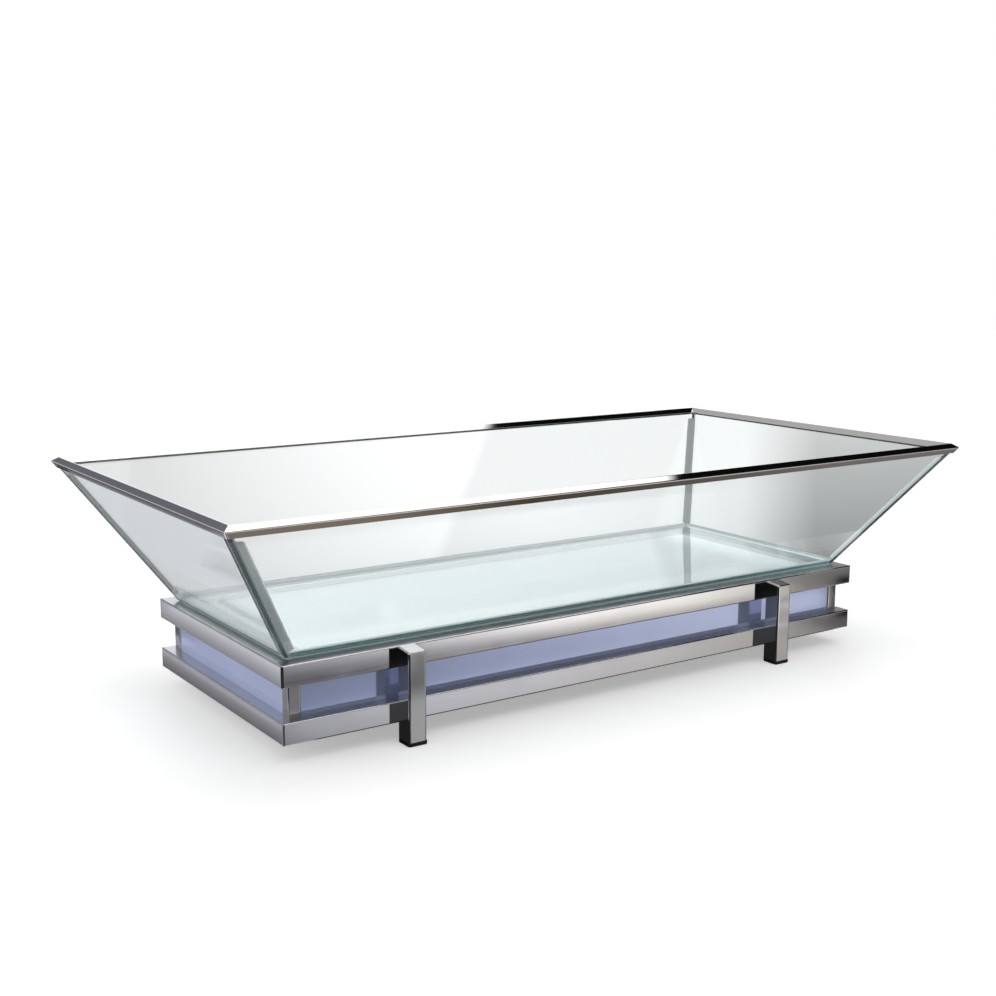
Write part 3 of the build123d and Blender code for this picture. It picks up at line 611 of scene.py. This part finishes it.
def addFrontLight(f):
    # out from the stand: a strip that the lower rails mirror, one for the band, a dark one, then a bright field for the
    # upper rails that lies to the right; the light is each one's run along X times its share along Y
    x = np.array(f["x"])
    toRight = np.clip((x - f["rightFrom"]) / f["rightOver"], 0, 1)
    farShare = np.array(f["farShare"])[:, None] + np.outer(f["farRight"], toRight)
    light = np.outer(f["nearShare"], f["near"]) + np.outer(f["middleShare"], f["middle"]) + farShare * f["far"]
    tint = mixed(f["cool"], f["warm"], (x - f["warmFrom"]) / f["warmOver"])
    addBoard("frontBoard", x, f["y"], f["depth"], tint, light)


slantStrips = dict(
    legBoard=dict(start=-0.484, slant=0.601, reach=(-0.034, 0.034), depth=0.499, tint="#ffffff",
                  rows=[-2.12, -1.98, -1.80, -1.67, -1.42], light=[0.40, 0.25, 0.21, 0.5, 0.51]),
    rightLegBoard=dict(start=0.0912, slant=1.0519, reach=(-0.034, 0.034), depth=0.499, tint="#fffaf5",
                       rows=[-1.87, -1.81, -1.73, -1.69], light=[0.8, 0.53, 0.53, 0.8]),
    postBoard=dict(start=0.2705, slant=1.116, reach=(0.010, 0.2), depth=0.499, tint="#ffffff",
                   rows=[-2.0, -1.6], light=[0.01, 0.01]),
    cornerBoard=dict(start=-0.4, slant=0.1667, reach=(-0.011, 0.012), depth=0.0005, tint="#ffffff",
                     rows=[0.45, 1.3], light=[0.08, 0.08]))


def addSlantStrips(strips):
    # darker strips, each on the slant line where one part mirrors the floor: the two front legs, the right corner post
    # and the far end of the left wall; X falls as Y rises
    for name, p in strips.items():
        rows = np.array(p["rows"])
        x = (p["start"] - p["slant"] * rows)[:, None] + np.array(p["reach"])
        addBoard(name, x, rows, p["depth"], np.array(srgb(p["tint"])[:3]), np.array(p["light"])[:, None])


tableLight = dict(
    depth=0.5, clothEdge=-0.45, warm="#ffe2bc", pale="#fff6f2",
    x=[-6, -0.6, -0.3, 0.0, 0.38, 0.95, 1.3, 6],
    table=[0.005, 0.005, 0.24, 0.24, 0.085, 0.14, 0.2, 0.2],
    cloth=[0.005, 0.005, 1.0, 1.3, 2.0, 0.35, 0.2, 0.2],
    paleShare=[0.5, 0.5, 0.5, 0.5, 0.0, 0.9, 1.0, 1.0],
    y=[-1.1, -0.75, -0.6, -0.46, -0.445, -0.41, -0.33, -0.2],
    tableShare=[2, 2, 1, 1, 0, 0, 0, 0],
    clothShare=[0, 0, 0, 0, 1.0, 0.9, 0.15, 0.15])


def addTableLight(t):
    # under the flared front wall: a warm table that the rim mirrors, with a pale cloth next to the stand
    onCloth = (np.array(t["y"]) > t["clothEdge"]).astype(float)[:, None, None]
    tint = mixed(t["warm"], t["pale"], t["paleShare"]) * (1 - onCloth) + onCloth
    light = np.outer(t["tableShare"], t["table"]) + np.outer(t["clothShare"], t["cloth"])
    addBoard("tableBoard", t["x"], t["y"], t["depth"], tint, light)


endLight = dict(
    depth=0.001, standX=0.525, standY=0.25, endY=6, leftTint="#f6f6ff", farStep=0.13, farShare=0.4, back=0.5,
    steps=[0, 0.022, 0.036, 0.055, 0.066, 0.0705, 0.082, 0.09, 0.115, 0.145, 0.165, 0.185, 0.215, 0.23, 0.9, 1.2, 6],
    beside=[0.65, 0.6, 0.22, 0.38, 0.62, 0.33, 0.32, 0.32, 0.33, 0.42, 0.62, 0.9, 1.0, 0.08, 0.08, 0.9, 0.8],
    behind=[0.6, 0.6, 0.6, 0.6, 0.6, 0.6, 0.6, 0.16, 0.16, 0.42, 0.62, 0.9, 1.0, 0.08, 0.08, 0.9, 0.8],
    behindY=(0.36, 0.46, 0.62, 0.75), underX=[-0.525, -0.47, -0.46, 0.525], under=[0.55, 0.55, 0.02, 0.02])


def addEndLight(e):
    # beside both ends, out from the stand: pale, dark, a light strip, darker, bright, dark again and pale far out;
    # behind the line of the stand the first steps are even, and further back the outer ones are dimmer; then an even
    # board behind the stand, and one under it that is dark but for its left end
    steps, beside, behind = (np.array(e[key]) for key in ("steps", "beside", "behind"))
    beyond = np.where(steps < e["farStep"], behind, e["farShare"] * behind)
    light = np.stack([beside, beside, behind, behind, beyond, beyond])
    rows = [-e["standY"], *e["behindY"], e["endY"]]
    leftTint = np.array(srgb(e["leftTint"])[:3])
    addBoard("leftBoard", -e["standX"] - steps[::-1], rows, e["depth"], leftTint, light[:, ::-1])
    addBoard("rightBoard", e["standX"] + steps, rows, e["depth"], 1, light)
    addBoard("backBoard", [-e["standX"], e["standX"]], [e["standY"], e["endY"]], e["depth"], 1, e["back"])
    addBoard("underBoard", e["underX"], [-e["standY"], e["standY"]], e["depth"], 1, e["under"])


# brightness by direction; a pair is where a change starts and ends, in the direction's X, Y or Z or in its share of
# an aim
sky = dict(wallAim=39, wallSide=0.70, wallBehind=1.03, wallTurn=(0.935, 0.982), wallTop=(0.10, 0.17),
           ceiling=0.18, ceilingLeft=0.45, leftTurn=(0.02, -0.35), besideBox=0.55, boxRise=(0.45, 0.66),
           panel=1.3, panelTurn=(0.74, 0.84), panelFoot=(0.0, 0.1),
           overhead=1.5, boxWay=(0.35, -0.15, 0.925), boxTurn=(0.75, 0.85),
           ceilingTint="#e4e5fa", tintStart=(0.27, 0.31), tintEnd=(0.42, 0.45),
           unlitAim=45.8, unlitTurn=(-0.02, 0.03), unlitSlope=(0.7547, -0.0961, -0.6491), slopeTurn=(-0.004, 0.004),
           shadeLow=0.33, shadeHigh=0.72, shadeRise=(-0.22, -0.10), shadeAbove=0.2, aboveRise=(0.06, 0.12),
           black=0.004, blackRise=(0.28, 0.36),
           floorLight=1.0, floorTop=(0.06, -0.02), floorFoot=(-0.42, -0.55), floorTurn=(0.15, -0.05), seen=1.0)


def addWorld(s):
    world = bpy.data.worlds.new("softStudio")
    bpy.context.scene.world = world
    world.use_nodes = True
    tree = world.node_tree
    tree.nodes.clear()
    way = addNode(tree, "ShaderNodeTexCoord").outputs["Generated"]
    parts = addNode(tree, "ShaderNodeSeparateXYZ", {0: way})
    across, depth, height = parts.outputs["X"], parts.outputs["Y"], parts.outputs["Z"]
    # a pale wall all round, brightest behind the trough
    aim = math.radians(s["wallAim"])
    facing = addNode(tree, "ShaderNodeVectorMath", {0: way, 1: (math.sin(aim), math.cos(aim), 0)},
                     operation="DOT_PRODUCT").outputs["Value"]
    wall = addNode(tree, "ShaderNodeMapRange",
                   {"Value": facing, "From Min": s["wallTurn"][0], "From Max": s["wallTurn"][1],
                    "To Min": s["wallSide"], "To Max": s["wallBehind"]})
    # above it a dim ceiling, lighter to the left and near the large soft box overhead
    ceiling = addNode(tree, "ShaderNodeMapRange",
                      {"Value": across, "From Min": s["leftTurn"][0], "From Max": s["leftTurn"][1],
                       "To Min": s["ceiling"], "To Max": s["ceilingLeft"]})
    ceiling = addNode(tree, "ShaderNodeMapRange",
                      {"Value": height, "From Min": s["boxRise"][0], "From Max": s["boxRise"][1],
                       "To Min": ceiling.outputs[0], "To Max": s["besideBox"]})
    upper = addNode(tree, "ShaderNodeMapRange",
                    {"Value": height, "From Min": s["wallTop"][0], "From Max": s["wallTop"][1],
                     "To Min": wall.outputs[0], "To Max": ceiling.outputs[0]})
    # a white panel stands behind the trough, from the horizon up
    behind = addNode(tree, "ShaderNodeMapRange",
                     {"Value": facing, "From Min": s["panelTurn"][0], "From Max": s["panelTurn"][1]})
    raised = addNode(tree, "ShaderNodeMapRange",
                     {"Value": height, "From Min": s["panelFoot"][0], "From Max": s["panelFoot"][1]})
    panel = addNode(tree, "ShaderNodeMath", {0: behind.outputs[0], 1: raised.outputs[0]}, operation="MULTIPLY")
    upper = addNode(tree, "ShaderNodeMapRange",
                    {"Value": panel.outputs[0], "To Min": upper.outputs[0], "To Max": s["panel"]})
    overBox = addNode(tree, "ShaderNodeVectorMath", {0: way, 1: s["boxWay"]}, operation="DOT_PRODUCT")
    top = addNode(tree, "ShaderNodeMapRange",
                  {"Value": overBox.outputs["Value"], "From Min": s["boxTurn"][0], "From Max": s["boxTurn"][1],
                   "To Min": upper.outputs[0], "To Max": s["overhead"]})
    # a belt of the ceiling is bluish
    bluish = addNode(tree, "ShaderNodeMapRange",
                     {"Value": height, "From Min": s["tintStart"][0], "From Max": s["tintStart"][1]})
    bluish = addNode(tree, "ShaderNodeMapRange",
                     {"Value": height, "From Min": s["tintEnd"][0], "From Max": s["tintEnd"][1],
                      "To Min": bluish.outputs[0], "To Max": 0.0})
    tint = addNode(tree, "ShaderNodeMix", {0: bluish.outputs[0], 6: (1, 1, 1, 1), 7: srgb(s["ceilingTint"])},
                   data_type="RGBA")
    # the right-hand side, between an upright plane and a sloping one, is unlit: grey low down, paler at the horizon,
    # dim above it and then black
    edge = math.radians(s["unlitAim"])
    beside = addNode(tree, "ShaderNodeVectorMath", {0: way, 1: (math.cos(edge), -math.sin(edge), 0)},
                     operation="DOT_PRODUCT")
    under = addNode(tree, "ShaderNodeVectorMath", {0: way, 1: s["unlitSlope"]}, operation="DOT_PRODUCT")
    besideShare = addNode(tree, "ShaderNodeMapRange",
                          {"Value": beside.outputs["Value"],
                           "From Min": s["unlitTurn"][0], "From Max": s["unlitTurn"][1]})
    underShare = addNode(tree, "ShaderNodeMapRange",
                         {"Value": under.outputs["Value"],
                          "From Min": s["slopeTurn"][0], "From Max": s["slopeTurn"][1]})
    unlit = addNode(tree, "ShaderNodeMath", {0: besideShare.outputs[0], 1: underShare.outputs[0]}, operation="MULTIPLY")
    shade = addNode(tree, "ShaderNodeMapRange",
                    {"Value": height, "From Min": s["shadeRise"][0], "From Max": s["shadeRise"][1],
                     "To Min": s["shadeLow"], "To Max": s["shadeHigh"]})
    shade = addNode(tree, "ShaderNodeMapRange",
                    {"Value": height, "From Min": s["aboveRise"][0], "From Max": s["aboveRise"][1],
                     "To Min": shade.outputs[0], "To Max": s["shadeAbove"]})
    shade = addNode(tree, "ShaderNodeMapRange",
                    {"Value": height, "From Min": s["blackRise"][0], "From Max": s["blackRise"][1],
                     "To Min": shade.outputs[0], "To Max": s["black"]})
    light = addNode(tree, "ShaderNodeMapRange",
                    {"Value": unlit.outputs[0], "To Min": top.outputs[0], "To Max": shade.outputs[0]})
    # and towards the front the pale floor runs on, which only shows through the glass from behind
    low = addNode(tree, "ShaderNodeMapRange",
                  {"Value": height, "From Min": s["floorTop"][0], "From Max": s["floorTop"][1]})
    low = addNode(tree, "ShaderNodeMapRange",
                  {"Value": height, "From Min": s["floorFoot"][0], "From Max": s["floorFoot"][1],
                   "To Min": low.outputs[0], "To Max": 0.0})
    ahead = addNode(tree, "ShaderNodeMapRange",
                    {"Value": depth, "From Min": s["floorTurn"][0], "From Max": s["floorTurn"][1]})
    onFloor = addNode(tree, "ShaderNodeMath", {0: low.outputs[0], 1: ahead.outputs[0]}, operation="MULTIPLY")
    light = addNode(tree, "ShaderNodeMapRange",
                    {"Value": onFloor.outputs[0], "To Min": light.outputs[0], "To Max": s["floorLight"]})
    # the backdrop itself is plain white
    isSeen = addNode(tree, "ShaderNodeLightPath").outputs["Is Camera Ray"]
    shown = addNode(tree, "ShaderNodeMapRange", {"Value": isSeen, "To Min": light.outputs[0], "To Max": s["seen"]})
    glow = addNode(tree, "ShaderNodeBackground", {"Color": tint.outputs[2], "Strength": shown.outputs[0]})
    addNode(tree, "ShaderNodeOutputWorld", {"Surface": glow.outputs[0]})


softBox = dict(power=10, size=2.4, place=(-0.7, -0.3, 2.4), lean=-16)


def addLamp(b):
    lamp = bpy.data.lights.new("softBox", "AREA")
    lamp.shape = "RECTANGLE"
    lamp.size = lamp.size_y = b["size"]
    lamp.energy = b["power"]
    box = bpy.data.objects.new("softBox", lamp)
    box.location = b["place"]
    box.rotation_euler = (0, math.radians(b["lean"]), 0)
    bpy.context.scene.collection.objects.link(box)


addFloor(paleFloor)
addFrontLight(frontLight)
addSlantStrips(slantStrips)
addTableLight(tableLight)
addEndLight(endLight)
addWorld(sky)
addLamp(softBox)
scene = bpy.context.scene
scene.view_settings.view_transform = "Standard"
scene.cycles.max_bounces = scene.cycles.transmission_bounces = 32  # light runs far inside the glass sheets
scene.cycles.glossy_bounces = 8
print("studio lit")
